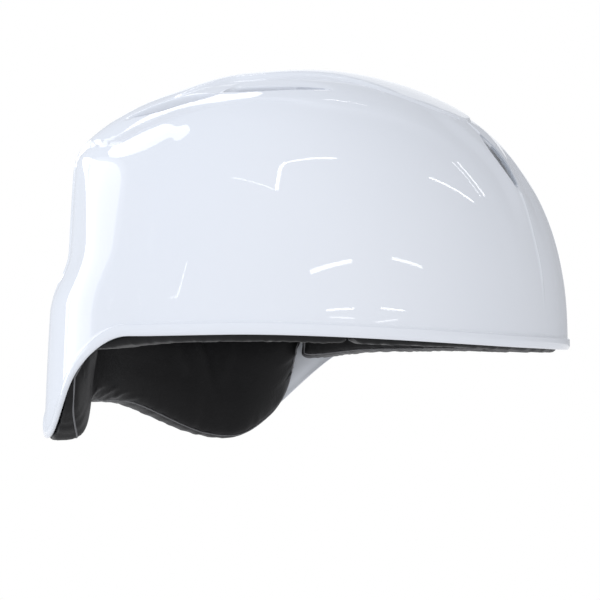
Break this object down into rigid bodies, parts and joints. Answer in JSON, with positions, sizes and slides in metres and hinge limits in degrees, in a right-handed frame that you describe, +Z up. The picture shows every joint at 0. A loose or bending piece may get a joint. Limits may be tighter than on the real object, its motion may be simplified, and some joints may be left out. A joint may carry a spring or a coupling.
{
  "type": "baseball catcher helmet",
  "caption": "Brimless hard-shell catcher's helmet with raised crown band, slotted vents, neck lobes, segmented foam liner and padded lining.",
  "frame": {"origin": "middle of the head opening, level with the rim at the ears", "axes": "+X to the wearer's front, +Y to the wearer's left, +Z up out of the crown"},
  "size_m": [0.2524, 0.2184, 0.1714],
  "materials": {
    "shell": "high gloss white moulded plastic",
    "foam": "matte beaded foam",
    "pad_leather": "smooth glossy synthetic leather, lightly wrinkled",
    "board": "matte sheet plastic",
    "hook": "hook fastener tape",
    "loop": "loop fastener tape"
  },
  "bodies": {
    "root": {"shell": "shell", "foam_crown": "foam", "foam_front": "foam", "foam_back": "foam", "foam_left": "foam", "foam_right": "foam", "crown_pad": "pad_leather", "front_pad": "pad_leather", "side_pad_left": "pad_leather", "side_pad_right": "pad_leather", "nape_pad": "pad_leather", "crown_board": "board", "front_board": "board", "side_board_left": "board", "side_board_right": "board", "nape_board": "board", "hook_crown": "hook", "hook_front": "hook", "hook_left": "hook", "hook_right": "hook", "hook_nape": "hook", "loop_crown": "loop", "loop_front": "loop", "loop_left": "loop", "loop_right": "loop", "loop_nape": "loop"}
  },
  "joints": []
}
